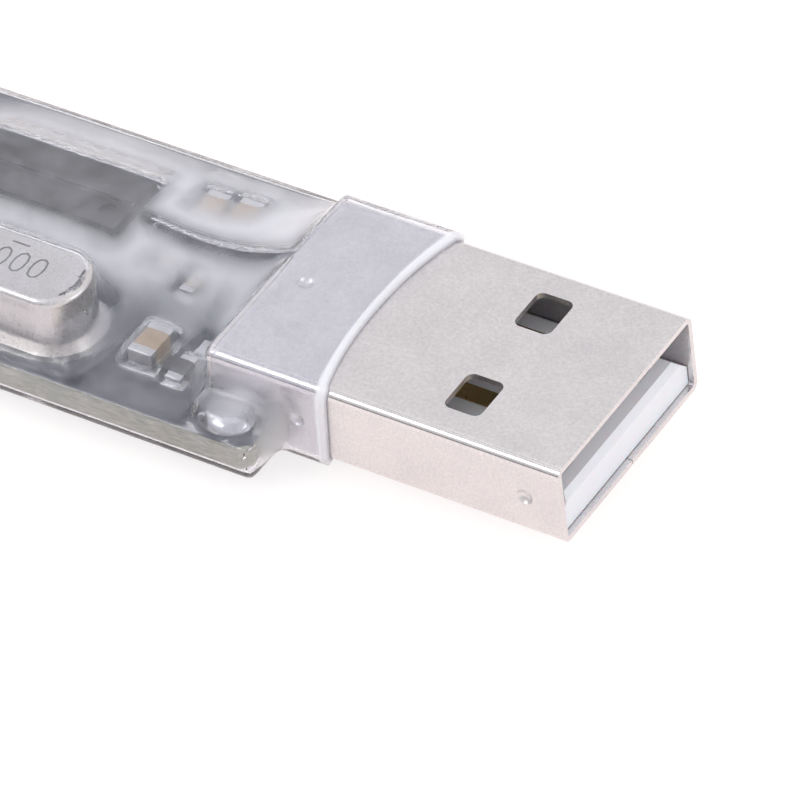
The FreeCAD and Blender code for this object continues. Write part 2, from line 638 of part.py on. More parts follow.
def sleeve_form(g, end):
    """Everything under the sleeve, covered by g, with its open ends run out by end."""
    half = HALF_SHELL + g
    shell = box(NOTCH_FLOOR - REACH, LIP + end, -half, half, -g, SHELL_HEIGHT + g)
    foot = FOOT_BACK - SLEEVE_RAMP - g
    ramp = side_prism([(SHELL_BACK + REACH, BOARD_TOP), (SHELL_BACK + REACH, SHELL_HEIGHT + g),
                       (SHELL_BACK - g, SHELL_HEIGHT + g), (foot, LOW_PARTS_TOP + g),
                       (foot, BOARD_TOP)], -half, half)
    flange = (FLANGE_LENGTH / 2 + g, FLANGE_WIDTH / 2 + g)
    crystal = frustum(CRYSTAL_X, CRYSTAL_Y, (flange[0] + SLEEVE_FLARE, flange[1] + SLEEVE_FLARE),
                      (CAN_LENGTH / 2 + g, CAN_WIDTH / 2 + g), BOARD_TOP, CAN_TOP + g)
    half_chip = CHIP_LENGTH / 2 + g
    chip = frustum(CHIP_X, CHIP_OFFSET, (half_chip + SLEEVE_FLARE, LEAD_SPAN / 2 + g + SLEEVE_FLARE),
                   (half_chip, CHIP_WIDTH / 2 + g), BOARD_TOP, CHIP_TOP + g)
    slope = HOUSING_TOP + g - BOARD_TOP
    bend = PIN_ROW + PIN_SIDE / 2 + g
    header = side_prism([(bend + slope / 2, BOARD_TOP), (bend, HOUSING_TOP + g),
                         (SLEEVE_BACK - end, HOUSING_TOP + g), (SLEEVE_BACK - end, BOARD_TOP)],
                        -HALF_HOUSING - g, HALF_HOUSING + g)
    front = crystal_lead_places()[1] + JOINT_RADIUS + g
    back = PIN_ROW - JOINT_RADIUS - g
    half_x = (front - back) / 2
    half_y = max(PIN_PLACES[-1], -CRYSTAL_Y) + KEEL_COVER + g
    top = (half_x + SLEEVE_FLARE, half_y + SLEEVE_FLARE)
    keel = frustum((front + back) / 2, 0, (half_x, half_y), top,
                   TAIL_TIP - g, BOARD_BOTTOM + SLEEVE_FLARE)
    return join([board_tube(g, end), shell, ramp, crystal, chip, header, keel])


def sleeve():
    return sleeve_form(SLEEVE_GROWTH, 0).cut(sleeve_form(SLEEVE_GAP, REACH))


# ---- The stick -----------------------------------------------------------------------------
def save_plug():
    shell = plug_shell()
    mound = tab_solder(shell)
    save("plug_tab_solder", [mound, mirrored(mound)])
    save("plug_shell", [shell])
    save("plug_insulator", [plug_insulator()])
    feet = []
    for name, (place, setback) in CONTACTS.items():
        contact = plug_contact(place, setback)
        feet.append(foot_solder(place, contact))
        save(name, [contact])
    save("contact_solder", feet)


def save_crystal():
    leads = [crystal_lead(x) for x in crystal_lead_places()]
    joints = [underside_joint(x, CRYSTAL_Y, lead) for x, lead in zip(crystal_lead_places(), leads)]
    save("crystal_solder", joints)
    save("crystal_leads", leads)
    save("crystal_base", [crystal_base()])
    save("crystal_can", [crystal_can()])
    save("quartz_blank", [quartz_blank()])


def save_header():
    pins = [header_pin(y) for y in PIN_PLACES]
    save("header_solder", [underside_joint(PIN_ROW, y, pin) for y, pin in zip(PIN_PLACES, pins)])
    save("header_pins", pins)
    save("header_housing", [header_housing()])
    save("jumper_housing", [jumper_housing()])
    save("jumper_clip", [jumper_clip()])


def save_board_parts():
    save("circuit_board", [circuit_board()])
    save("chip_body", [chip_body()])
    save("chip_leads", chip_leads())
    save_chip_parts("large_capacitor", [LARGE_CAPACITOR], LARGE_CHIP)
    save_chip_parts("bypass_capacitor", BYPASS_CAPACITORS, MIDDLE_CHIP)
    save_chip_parts("load_capacitor", LOAD_CAPACITORS, SMALL_CHIP)
    bodies, terminals = resistors()
    save("resistor_bodies", bodies)
    save("resistor_terminals", terminals)
    bases, lenses, terminals = leds()
    save("led_bases", bases)
    save("led_lenses", lenses)
    save("led_terminals", terminals)


os.makedirs("parts", exist_ok=True)
save_plug()
save_crystal()
save_header()
save_board_parts()
save("heat_shrink_sleeve", [sleeve()])
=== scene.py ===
import json
import math

import bmesh
import bpy
import numpy as np
from mathutils import Matrix, Vector


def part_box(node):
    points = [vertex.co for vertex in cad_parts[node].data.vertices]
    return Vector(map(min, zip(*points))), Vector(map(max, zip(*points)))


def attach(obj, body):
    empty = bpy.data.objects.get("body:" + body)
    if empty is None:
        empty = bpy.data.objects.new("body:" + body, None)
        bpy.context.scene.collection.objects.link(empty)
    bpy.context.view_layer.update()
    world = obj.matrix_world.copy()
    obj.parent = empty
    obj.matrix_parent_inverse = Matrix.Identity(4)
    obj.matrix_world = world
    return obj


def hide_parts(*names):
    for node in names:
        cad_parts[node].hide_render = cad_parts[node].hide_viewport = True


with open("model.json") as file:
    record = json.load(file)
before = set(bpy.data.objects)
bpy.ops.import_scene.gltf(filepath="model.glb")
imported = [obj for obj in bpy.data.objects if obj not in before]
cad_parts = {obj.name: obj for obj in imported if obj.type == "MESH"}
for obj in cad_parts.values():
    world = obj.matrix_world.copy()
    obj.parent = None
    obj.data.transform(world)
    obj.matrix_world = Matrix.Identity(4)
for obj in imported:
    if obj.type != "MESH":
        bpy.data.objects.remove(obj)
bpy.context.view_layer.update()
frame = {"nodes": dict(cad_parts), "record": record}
MM = 0.001
NODES = frame["nodes"]


# ---- Places, read from the frame ---------------------------------------------------------
def corners(node):
    low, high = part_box(node)
    return np.array(low), np.array(high)


def solid_boxes(node):
    """The box of each separate solid of a node, as (low corner, high corner)."""
    mesh = NODES[node].data
    places = np.array([v.co for v in mesh.vertices])
    _, same = np.unique(np.round(places, 7), axis=0, return_inverse=True)
    same = same.ravel()
    parent = list(range(same.max() + 1))

    def root(i):
        while parent[i] != i:
            parent[i] = parent[parent[i]]
            i = parent[i]
        return i

    for face in mesh.polygons:
        first = root(same[face.vertices[0]])
        for v in face.vertices[1:]:
            parent[root(same[v])] = first
    groups = {}
    for v, point in zip(same, places):
        groups.setdefault(root(v), []).append(point)
    boxes = [(np.min(g, axis=0), np.max(g, axis=0)) for g in groups.values()]
    return sorted(boxes, key=lambda b: tuple(b[0]))


MOUTH = corners("plug_shell")[1][0]
SHELL_BACK = corners("plug_shell")[0][0]
SHELL_TOP = corners("plug_shell")[1][2]
SHELL_BOTTOM = corners("plug_shell")[0][2]
HALF_SHELL = 6.0 * MM
BOARD_LOW, BOARD_HIGH = corners("circuit_board")
BOARD_TOP = BOARD_HIGH[2]
SLEEVE_LOW, SLEEVE_HIGH = corners("heat_shrink_sleeve")
CHIP_LOW, CHIP_HIGH = corners("chip_body")
CAN_LOW, CAN_HIGH = corners("crystal_can")


# ---- Material helpers ----------------------------------------------------------------------
def new_material(name):
    material = bpy.data.materials.new(name)
    material.use_nodes = True
    tree = material.node_tree
    tree.nodes.clear()
    output = tree.nodes.new("ShaderNodeOutputMaterial")
    shader = tree.nodes.new("ShaderNodeBsdfPrincipled")
    tree.links.new(shader.outputs[0], output.inputs[0])
    return material, tree, shader


def link(tree, a, b):
    tree.links.new(a, b)


def math_node(tree, operation, a, b=0.0, clamp=False):
    made = tree.nodes.new("ShaderNodeMath")
    made.operation = operation
    made.use_clamp = clamp
    for socket, value in zip(made.inputs, (a, b)):
        if isinstance(value, (int, float)):
            socket.default_value = value
        else:
            tree.links.new(value, socket)
    return made.outputs[0]


def times(tree, a, b):
    return math_node(tree, "MULTIPLY", a, b)


def plus(tree, a, b):
    return math_node(tree, "ADD", a, b)


def remap(tree, value, low, high, to_low, to_high):
    made = tree.nodes.new("ShaderNodeMapRange")
    tree.links.new(value, made.inputs[0])
    for socket, number in zip(made.inputs[1:5], (low, high, to_low, to_high)):
        socket.default_value = number
    return made.outputs[0]


def blend_colour(tree, share, a, b):
    made = tree.nodes.new("ShaderNodeMix")
    made.data_type = "RGBA"
    tree.links.new(share, made.inputs[0])
    for socket, value in ((made.inputs[6], a), (made.inputs[7], b)):
        if isinstance(value, tuple):
            socket.default_value = (*value, 1.0)
        else:
            tree.links.new(value, socket)
    return made.outputs[2]


def noise(tree, scale_per_mm, detail=3.0, roughness=0.5, stretch=(1, 1, 1)):
    """Noise in object space; scale_per_mm is how many of its cells fit in a millimetre."""
    coordinate = tree.nodes.new("ShaderNodeTexCoord")
    mapping = tree.nodes.new("ShaderNodeMapping")
    mapping.inputs["Scale"].default_value = [s / MM for s in stretch]
    texture = tree.nodes.new("ShaderNodeTexNoise")
    texture.inputs["Scale"].default_value = scale_per_mm
    texture.inputs["Detail"].default_value = detail
    texture.inputs["Roughness"].default_value = roughness
    tree.links.new(coordinate.outputs["Object"], mapping.inputs["Vector"])
    tree.links.new(mapping.outputs[0], texture.inputs["Vector"])
    return texture.outputs["Fac"]


def bump(tree, shader, height, distance_mm, strength=1.0):
    made = tree.nodes.new("ShaderNodeBump")
    made.inputs["Distance"].default_value = distance_mm * MM
    made.inputs["Strength"].default_value = strength
    tree.links.new(height, made.inputs["Height"])
    tree.links.new(made.outputs[0], shader.inputs["Normal"])


def position(tree):
    coordinate = tree.nodes.new("ShaderNodeTexCoord")
    split = tree.nodes.new("ShaderNodeSeparateXYZ")
    tree.links.new(coordinate.outputs["Object"], split.inputs[0])
    return split.outputs


def set_plain(shader, colour, roughness, metallic=0.0, **more):
    shader.inputs["Base Color"].default_value = (*colour, 1.0)
    shader.inputs["Roughness"].default_value = roughness
    shader.inputs["Metallic"].default_value = metallic
    for key, value in more.items():
        shader.inputs[key.replace("_", " ")].default_value = value


# ---- Materials -----------------------------------------------------------------------------
BURNISHED_ROUGHNESS = 0.13


def satin_metal(name, light, dark, rough, grain_mm=0.012, fold=None):
    """Plated sheet with a fine even grain; near its folds and its cut rim it is burnished."""
    material, tree, shader = new_material(name)
    set_plain(shader, light, rough, 1.0)
    cloud = noise(tree, 0.35, 4.0, 0.6)
    grain = noise(tree, 6.0, 3.0, 0.7)
    tone = remap(tree, plus(tree, times(tree, cloud, 0.3), times(tree, grain, 0.7)), 0.35, 0.65, 0, 1)
    link(tree, blend_colour(tree, tone, dark, light), shader.inputs["Base Color"])
    rough_now = remap(tree, grain, 0.3, 0.7, rough * 0.85, rough * 1.2)
    height = grain
    if fold is not None:
        x, y, z = position(tree)
        half, top, bottom, radius = fold
        side = math_node(tree, "SUBTRACT", half, math_node(tree, "ABSOLUTE", y))
        from_top, from_bottom = math_node(tree, "SUBTRACT", top, z), math_node(tree, "SUBTRACT", z, bottom)
        up = math_node(tree, "MINIMUM", from_top, from_bottom)
        corner = math_node(tree, "MAXIMUM", side, up)
        flat = remap(tree, corner, radius * 0.85, radius * 1.15, 0, 1)
        rim = remap(tree, math_node(tree, "SUBTRACT", MOUTH, x), 0.02 * MM, 0.12 * MM, 0, 1)
        flat = times(tree, flat, rim)
        burnished = times(tree, math_node(tree, "SUBTRACT", 1.0, flat), BURNISHED_ROUGHNESS)
        rough_now = plus(tree, times(tree, rough_now, flat), burnished)
        height = times(tree, grain, plus(tree, times(tree, flat, 0.9), 0.1))
    link(tree, rough_now, shader.inputs["Roughness"])
    bump(tree, shader, height, grain_mm)
    return material


def plain_metal(name, colour, rough, tarnish=0.12):
    material, tree, shader = new_material(name)
    set_plain(shader, colour, rough, 1.0)
    cloud = noise(tree, 1.2, 4.0, 0.6)
    darker = tuple(c * (1 - tarnish * 2) for c in colour)
    tone = remap(tree, cloud, 0.3, 0.7, 0, 1)
    link(tree, blend_colour(tree, tone, darker, colour), shader.inputs["Base Color"])
    link(tree, remap(tree, cloud, 0.3, 0.7, rough * 0.8, rough * 1.3), shader.inputs["Roughness"])
    bump(tree, shader, noise(tree, 6.0), 0.006)
    return material


def moulded(name, colour, rough, grain_per_mm=8.0, grain_mm=0.01, variation=0.12, **more):
    """Moulded plastic or ceramic with a fine surface grain and a slight change of tone."""
    material, tree, shader = new_material(name)
    set_plain(shader, colour, rough, 0.0, **more)
    cloud = noise(tree, 0.5, 3.0)
    darker = tuple(c * (1 - variation) for c in colour)
    tone = remap(tree, cloud, 0.3, 0.7, 0, 1)
    link(tree, blend_colour(tree, tone, darker, colour), shader.inputs["Base Color"])
    grain = noise(tree, grain_per_mm, 3.0, 0.6)
    grainy = remap(tree, grain, 0.3, 0.7, rough * 0.85, min(1.0, rough * 1.15))
    link(tree, grainy, shader.inputs["Roughness"])
    bump(tree, shader, grain, grain_mm)
    return material


def board_material():
    """Solder mask on the faces; on the cut edges the laminate shows, with its glass layers."""
    material, tree, shader = new_material("board_mask")
    set_plain(shader, (0.02, 0.025, 0.04), 0.35, 0.0)
    geometry = tree.nodes.new("ShaderNodeNewGeometry")
    split = tree.nodes.new("ShaderNodeSeparateXYZ")
    link(tree, geometry.outputs["Normal"], split.inputs[0])
    edge = remap(tree, math_node(tree, "ABSOLUTE", split.outputs[2]), 0.3, 0.6, 1, 0)
    mask = blend_colour(tree, noise(tree, 0.4, 3.0), (0.018, 0.022, 0.036), (0.032, 0.038, 0.058))
    layers = noise(tree, 1.0, 4.0, 0.7, stretch=(1.2, 1.2, 9.0))
    woven = remap(tree, layers, 0.3, 0.7, 0, 1)
    laminate = blend_colour(tree, woven, (0.20, 0.20, 0.15), (0.52, 0.49, 0.40))
    stain = remap(tree, noise(tree, 0.7, 3.0), 0.5, 0.75, 0, 0.6)
    laminate = blend_colour(tree, stain, laminate, (0.16, 0.21, 0.13))
    link(tree, blend_colour(tree, edge, mask, laminate), shader.inputs["Base Color"])
    link(tree, remap(tree, edge, 0, 1, 0.32, 0.75), shader.inputs["Roughness"])
    height = times(tree, layers, plus(tree, times(tree, edge, 0.95), 0.05))
    bump(tree, shader, height, 0.05)
    return material


def film_material():
    """Clear film: sharp where it lies on a part, blurred and milky where it stands off.

    Shadow rays pass through it, so that the lamps reach what is underneath.
    """
    material, tree, shader = new_material("clear_sleeve")
    set_plain(shader, (0.93, 0.94, 0.985), 0.1, 0.0, IOR=1.33,
              Coat_Weight=0.6, Coat_Roughness=0.2, Coat_IOR=1.5)
    haze = tree.nodes.new("ShaderNodeAttribute")
    haze.attribute_name = "haze"
    milky = math_node(tree, "SUBTRACT", 0.96, times(tree, haze.outputs["Fac"], 0.52))
    cloud = remap(tree, noise(tree, 0.5, 4.0, 0.6), 0.3, 0.7, -0.04, 0.04)
    link(tree, math_node(tree, "ADD", milky, cloud, clamp=True), shader.inputs["Transmission Weight"])
    lift = tree.nodes.new("ShaderNodeAttribute")
    lift.attribute_name = "lift"
    link(tree, remap(tree, lift.outputs["Fac"], 0.0, 0.3, 0.05, 0.6), shader.inputs["Roughness"])
    wave = noise(tree, 0.8, 2.0)
    wrinkle = noise(tree, 5.0, 3.0, 0.6, stretch=(0.7, 1.0, 1.6))
    height = plus(tree, times(tree, wave, 0.6), times(tree, wrinkle, 0.14))
    bump(tree, shader, height, 0.06)
    output = next(n for n in tree.nodes if n.type == "OUTPUT_MATERIAL")
    path = tree.nodes.new("ShaderNodeLightPath")
    clear = tree.nodes.new("ShaderNodeBsdfTransparent")
    clear.inputs[0].default_value = (0.92, 0.93, 0.95, 1)
    mix = tree.nodes.new("ShaderNodeMixShader")
    link(tree, path.outputs["Is Shadow Ray"], mix.inputs[0])
    link(tree, shader.outputs[0], mix.inputs[1])
    link(tree, clear.outputs[0], mix.inputs[2])
    link(tree, mix.outputs[0], output.inputs[0])
    return material


def glassy(name, colour, rough, weight):
    material, tree, shader = new_material(name)
    set_plain(shader, colour, rough, 0.0, Transmission_Weight=weight, IOR=1.5)
    bump(tree, shader, noise(tree, 2.0), 0.01)
    return material


def make_materials():
    fold = (HALF_SHELL, SHELL_TOP, SHELL_BOTTOM, 0.45 * MM)
    made = {
        "nickel_shell": satin_metal("nickel_shell", (0.83, 0.80, 0.80), (0.66, 0.64, 0.65),
                                    0.36, 0.014, fold),
        "can_metal": satin_metal("can_metal", (0.78, 0.75, 0.71), (0.66, 0.63, 0.60), 0.30, 0.006),
        "white_plastic": moulded("white_plastic", (0.90, 0.92, 0.98), 0.38, 3.0, 0.004, 0.03,
                                 Subsurface_Weight=0.25, Subsurface_Scale=0.0006),
        "contact_metal": plain_metal("contact_metal", (0.85, 0.64, 0.30), 0.22),
        "pin_metal": plain_metal("pin_metal", (0.86, 0.66, 0.32), 0.2, 0.06),
        "clip_metal": plain_metal("clip_metal", (0.80, 0.66, 0.38), 0.25),
        "solder": plain_metal("solder", (0.74, 0.74, 0.75), 0.22),
        "tinned_leads": plain_metal("tinned_leads", (0.74, 0.74, 0.74), 0.3),
        "tinned_ends": plain_metal("tinned_ends", (0.78, 0.77, 0.76), 0.35),
        "board_mask": board_material(),
        "chip_epoxy": moulded("chip_epoxy", (0.03, 0.03, 0.034), 0.55, 10.0, 0.012),
        "tan_ceramic": moulded("tan_ceramic", (0.46, 0.33, 0.21), 0.4, 6.0, 0.006),
        "pale_ceramic": moulded("pale_ceramic", (0.55, 0.50, 0.43), 0.4, 6.0, 0.006),
        "resistor_black": moulded("resistor_black", (0.03, 0.03, 0.035), 0.3, 5.0, 0.004),
        "led_base": moulded("led_base", (0.75, 0.75, 0.72), 0.5),
        "led_lens": glassy("led_lens", (0.95, 0.94, 0.80), 0.12, 0.7),
        "quartz": glassy("quartz", (0.95, 0.97, 0.98), 0.05, 0.9),
        "header_plastic": moulded("header_plastic", (0.022, 0.022, 0.024), 0.42, 7.0, 0.01),
        "jumper_plastic": moulded("jumper_plastic", (0.02, 0.02, 0.022), 0.3, 5.0, 0.008),
        "clear_sleeve": film_material(),
        "silkscreen": moulded("silkscreen", (0.80, 0.80, 0.78), 0.6, 12.0, 0.004),
        "trace_mask": moulded("trace_mask", (0.035, 0.042, 0.062), 0.33, 8.0, 0.004),
        "etched_mark": moulded("etched_mark", (0.10, 0.095, 0.09), 0.6, 12.0, 0.003),
    }
    return made


def dress_cad_nodes(materials):
    slots = {row["node"]: row["material_slot"] for row in frame["record"]["subparts"]}
    for name, thing in NODES.items():
        thing.data.materials.clear()
        thing.data.materials.append(materials[slots[name]])


# ---- Mesh helpers --------------------------------------------------------------------------
def mesh_object(name, points, faces, material, body="stick", smooth=False):
    mesh = bpy.data.meshes.new(name)
    mesh.from_pydata([tuple(p) for p in points], [], faces)
    mesh.validate()
    made = bpy.data.objects.new(name, mesh)
    bpy.context.scene.collection.objects.link(made)
    mesh.materials.append(material)
    if smooth:
        mesh.polygons.foreach_set("use_smooth", [True] * len(mesh.polygons))
    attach(made, body)
    return made


# ---- Marks, pads and traces ----------------------------------------------------------------
GLYPHS = {                      # strokes of plain digits in a box of width 1 and height 2
    "0": [[(0.5, 0), (0.85, 0.2), (1, 0.7), (1, 1.3), (0.85, 1.8), (0.5, 2),
           (0.15, 1.8), (0, 1.3), (0, 0.7), (0.15, 0.2), (0.5, 0)]],
    "1": [[(0.2, 1.6), (0.6, 2), (0.6, 0)]],
    "2": [[(0, 1.6), (0.2, 1.93), (0.8, 1.93), (1, 1.6), (1, 1.25), (0, 0.05), (1, 0.05)]],
    "3": [[(0, 1.8), (0.5, 2), (1, 1.6), (0.5, 1.05), (1, 0.5), (0.5, 0), (0, 0.2)]],
    "4": [[(0.75, 0), (0.75, 2), (0, 0.6), (1, 0.6)]],
    "5": [[(1, 2), (0, 2), (0, 1.15), (0.6, 1.2), (1, 0.7), (0.6, 0), (0, 0.15)]],
    "6": [[(0.9, 2), (0.1, 1.2), (0, 0.5), (0.5, 0), (1, 0.5), (0.6, 1.1), (0.05, 0.8)]],
    ".": [[(0.35, 0.02), (0.6, 0.02)]],
}


def strip_prism(path, width, low, high):
    """Points and faces of a strip of even width along a path, standing from low to high."""
    path = [Vector((x, y)) for x, y in path]
    steps = [(b - a).normalized() for a, b in zip(path, path[1:])]
    points = []
    for i, place in enumerate(path):
        before, after = steps[max(i - 1, 0)], steps[min(i, len(steps) - 1)]
        heading = (before + after).normalized() if (before + after).length > 0.1 else after
        across = Vector((-heading.y, heading.x)) * width / 2 / max(heading.dot(after), 0.5)
        for side in (across, -across):
            points += [(*(place + side), low), (*(place + side), high)]
    faces = [(0, 1, 3, 2)]
    for i in range(len(path) - 1):
        a, b = 4 * i, 4 * i + 4
        faces += [(a, b, b + 1, a + 1), (a + 1, b + 1, b + 3, a + 3), (a + 3, b + 3, b + 2, a + 2),
                  (a + 2, b + 2, b, a)]
    last = 4 * (len(path) - 1)
    faces.append((last, last + 2, last + 3, last + 1))
    return points, faces


def strips(name, paths, width, low, high, material):
    """One piece made of many strips; paths are in millimetres."""
    points, faces = [], []
    for path in paths:
        new_points, new_faces = strip_prism([(x * MM, y * MM) for x, y in path], width * MM, low, high)
        faces += [tuple(v + len(points) for v in face) for face in new_faces]
        points += new_points
    made = mesh_object(name, points, faces, MATERIALS[material])
    recalculate(made)


def written(text, x, y, height, gap=0.55):
    """The strokes of a number that starts at x, y."""
    width = height * 0.5
    paths = []
    for i, sign in enumerate(text):
        for stroke in GLYPHS.get(sign, []):
            start = i * (width + gap * width)
            paths.append([(x + start + px * width, y + py * height / 2) for px, py in stroke])
    return paths


def can_number():
    """A plain frequency figure cut into the crystal's top."""
    middle_x, middle_y = (CAN_LOW[0] + CAN_HIGH[0]) / 2 / MM, (CAN_LOW[1] + CAN_HIGH[1]) / 2 / MM
    paths = written("12.000", middle_x - 3.15, middle_y - 0.62, 1.35, 0.55)
    paths.append([(middle_x + 0.2, middle_y + 1.2), (middle_x + 1.2, middle_y + 1.2)])
    strips("can_number", paths, 0.1, CAN_HIGH[2] - 0.002 * MM, CAN_HIGH[2] + 0.006 * MM, "etched_mark")


def board_marks():
    """Printed numbers and part outlines on the board's two faces."""
    far = BOARD_HIGH[1] / MM - 1.05
    paths = written("123", 1.0, far, 0.75, 0.5) + written("456", 3.4, far, 0.75, 0.5)
    header_low, header_high = (c / MM for c in corners("header_pins"))
    pitch = (header_high[1] - header_low[1] - 0.64) / 5
    for i in range(6):
        paths += written(str(i + 1), -16.9, header_low[1] + 0.1 + pitch * i, 0.8)
    for name in ("large_capacitor_terminals", "bypass_capacitor_terminals", "load_capacitor_terminals"):
        for low, high in solid_boxes(name):
            low, high = low / MM, high / MM
            for x in (low[0] - 0.25, high[0] + 0.25):
                paths.append([(x, low[1]), (x, high[1])])
    chip_low, chip_high = CHIP_LOW / MM, CHIP_HIGH / MM
    paths.append([(chip_high[0] + 0.3, chip_low[1] + 0.1), (chip_high[0] + 0.3, chip_high[1] - 0.1)])
    strips("printed_marks", paths, 0.13, BOARD_TOP - 0.005 * MM, BOARD_TOP + 0.015 * MM,
           "silkscreen")
    under = []
    for i in range(6):
        under += written(str(6 - i), -14.9, header_low[1] + 0.1 + pitch * i, 0.9)
    bottom = BOARD_LOW[2]
    strips("printed_marks_below", under, 0.15, bottom - 0.015 * MM, bottom + 0.005 * MM, "silkscreen")


def traces():
    """Copper runs under the mask, which raise it a little."""
    leads = [((low + high) / 2 / MM) for low, high in solid_boxes("chip_leads")]
    near = sorted(p[0] for p in leads if p[1] * MM < (CHIP_LOW[1] + CHIP_HIGH[1]) / 2)
    far = sorted(p[0] for p in leads if p[1] * MM > (CHIP_LOW[1] + CHIP_HIGH[1]) / 2)
    near_y, far_y = min(p[1] for p in leads), max(p[1] for p in leads)
    top = [[(x, near_y), (x, near_y - 0.9 - 0.2 * (i % 3)), (x + 0.7, near_y - 1.6 - 0.2 * (i % 3))]
           for i, x in enumerate(near)]
    top += [[(x, far_y), (x, far_y + 0.6 + 0.35 * (i % 3)), (x + 1.6, far_y + 0.9 + 0.35 * (i % 3))]
            for i, x in enumerate(far)]
    top += [[(7.4, y), (6.4, y), (5.6, y * 0.6 + 1.2), (3.6, y * 0.6 + 1.2)] for y in (-1.0, 1.0)]
    top += [[(-11.0, y), (-9.6, y + 0.6), (-8.6, y + 0.6)] for y in (-2.5, 0.0)]
    strips("traces_above", top, 0.22, BOARD_TOP - 0.01 * MM, BOARD_TOP + 0.02 * MM, "trace_mask")
    below = [[(-17.5, y), (-12.0, y), (-10.5, y * 0.7), (3.0, y * 0.7), (5.0, y * 0.5), (8.5, y * 0.5)]
             for y in (6.35, 3.81, 1.27, -1.27)]
    below += [[(-17.5, y), (-13.0, y), (-11.5, y + 0.9), (-7.0, y + 0.9)] for y in (-3.81, -6.35)]
    strips("traces_below", below, 0.3, BOARD_LOW[2] - 0.02 * MM, BOARD_LOW[2] + 0.01 * MM, "trace_mask")


def pads():
    """Tinned pads with a fillet of solder up the outer end of each terminal and chip lead."""
    points, faces = [], []

    def block(low, high, slope):
        """A box whose top is smaller than its foot by slope on each side."""
        start = len(points)
        points.extend([(x, y, low[2]) for x in (low[0], high[0]) for y in (low[1], high[1])])
        points.extend([(x, y, high[2]) for x in (low[0] + slope, high[0] - slope)
                       for y in (low[1] + slope, high[1] - slope)])
        faces.extend([tuple(start + v for v in f) for f in ((0, 1, 3, 2), (4, 6, 7, 5), (0, 4, 5, 1),
                                                            (2, 3, 7, 6), (0, 2, 6, 4), (1, 5, 7, 3))])

    for name in ("large_capacitor_terminals", "bypass_capacitor_terminals", "load_capacitor_terminals",
                 "resistor_terminals", "led_terminals", "chip_leads"):
        margin, share = (0.14, 0.35) if name == "chip_leads" else (0.24, 0.55)
        for low, high in solid_boxes(name):
            low, high = low.copy(), high.copy()
            if name == "chip_leads":
                middle = (CHIP_LOW[1] + CHIP_HIGH[1]) / 2
                if low[1] > middle:
                    low[1] = high[1] - 0.65 * MM
                else:
                    high[1] = low[1] + 0.65 * MM
            foot = BOARD_TOP - 0.005 * MM
            wide = np.array([margin, margin, 0]) * MM
            block([*(low - wide)[:2], foot], [*(high + wide)[:2], BOARD_TOP + 0.03 * MM], 0.02 * MM)
            rise = min((high[2] - BOARD_TOP) * share, 0.45 * MM)
            reach = wide * 0.9
            block([*(low - reach)[:2], foot], [*(high + reach)[:2], BOARD_TOP + rise], margin * 0.88 * MM)
    made = mesh_object("solder_pads", points, faces, MATERIALS["solder"])
    recalculate(made)


# ---- Heat-shrink film ----------------------------------------------------------------------
FILM_WALL = 0.33                # millimetres, as are all the film's own sizes
FILM_GAP = 0.07
FILM_STEP = 0.17                # spacing of its rings along the stick
FILM_POINTS = 250               # points round each ring
ROUGH_STEPS, FINE_STEPS = 900, 170
TIGHT, SLACK, TAUT = 1.7, 0.22, 0.05   # inward curvature that the shrinking pulls to
CREASE_Y = 2.25
CREASE_END_Y = 1.5
LIP_SLANT = 0.14
LIP_FORWARD = 0.25
LIP_CUP = 0.9


def film_obstacles():
    """What the film is shrunk over: (low, high, edge radius, plan radius of its ends), in millimetres."""
    found = []

    def add(low, high, edge=0.06, ends=0.0, grow=(0, 0, 0)):
        grow = np.array(grow)
        found.append((np.array(low) / MM - grow, np.array(high) / MM + grow, edge, ends))

    low, high = corners("plug_shell")
    add((low[0], -HALF_SHELL, low[2]), (high[0], HALF_SHELL, high[2]), 0.45)
    tab_back, tab_front = low[0], low[0] + 2.0 * MM
    add((tab_back, low[1], BOARD_TOP), (tab_front, high[1], BOARD_TOP + 0.3 * MM))
    for name in ("circuit_board", "header_housing", "chip_body"):
        add(*corners(name))
    half_can = (CAN_HIGH[1] - CAN_LOW[1]) / 2 / MM
    add(*corners("crystal_can"), edge=0.3, ends=half_can)
    low, high = corners("crystal_base")
    add(low, high, edge=0.05, ends=(high[1] - low[1]) / 2 / MM)
    for name in ("chip_leads", "contact_solder", "large_capacitor_terminals", "large_capacitor_body",
                 "bypass_capacitor_terminals", "bypass_capacitor_bodies", "load_capacitor_terminals",
                 "load_capacitor_bodies", "resistor_terminals", "resistor_bodies", "led_terminals",
                 "led_bases", "led_lenses"):
        for low, high in solid_boxes(name):
            add(low, high)
    for low, high in solid_boxes("plug_tab_solder"):
        add(low, high, edge=0.6, ends=1.2)
    for name in ("header_solder", "crystal_solder"):
        for low, high in solid_boxes(name):
            add(low, high, edge=0.3, ends=0.8, grow=(-0.2, -0.2, 0))
    for name in ("header_pins", "crystal_leads"):
        for low, high in solid_boxes(name):
            front = high[0]
            back = max(low[0], front - 0.7 * MM)
            add((back, low[1], low[2]), (front, high[1], high[2] if name == "header_pins" else BOARD_TOP))
    return found + crease_line()


def crease_line():
    """The crease that the film folded itself into: it holds up between the chip and the plug."""
    back = CHIP_HIGH[0] / MM - 1.0
    front = SHELL_BACK / MM
    low, high = CHIP_HIGH[2] / MM - 0.1, SHELL_TOP / MM - 0.1
    pieces = []
    for share in np.linspace(0, 1, 30):
        x = back + (front - back) * share
        y = CREASE_Y + (CREASE_END_Y - CREASE_Y) * share
        top = low + (high - low) * share ** 2.6 - 0.35 * math.sin(math.pi * share)
        near, far = np.array([x - 0.2, y - 0.02, top - 0.1]), np.array([x + 0.2, y + 0.02, top])
        pieces.append((near, far, 0.02, 0.0))
    return pieces


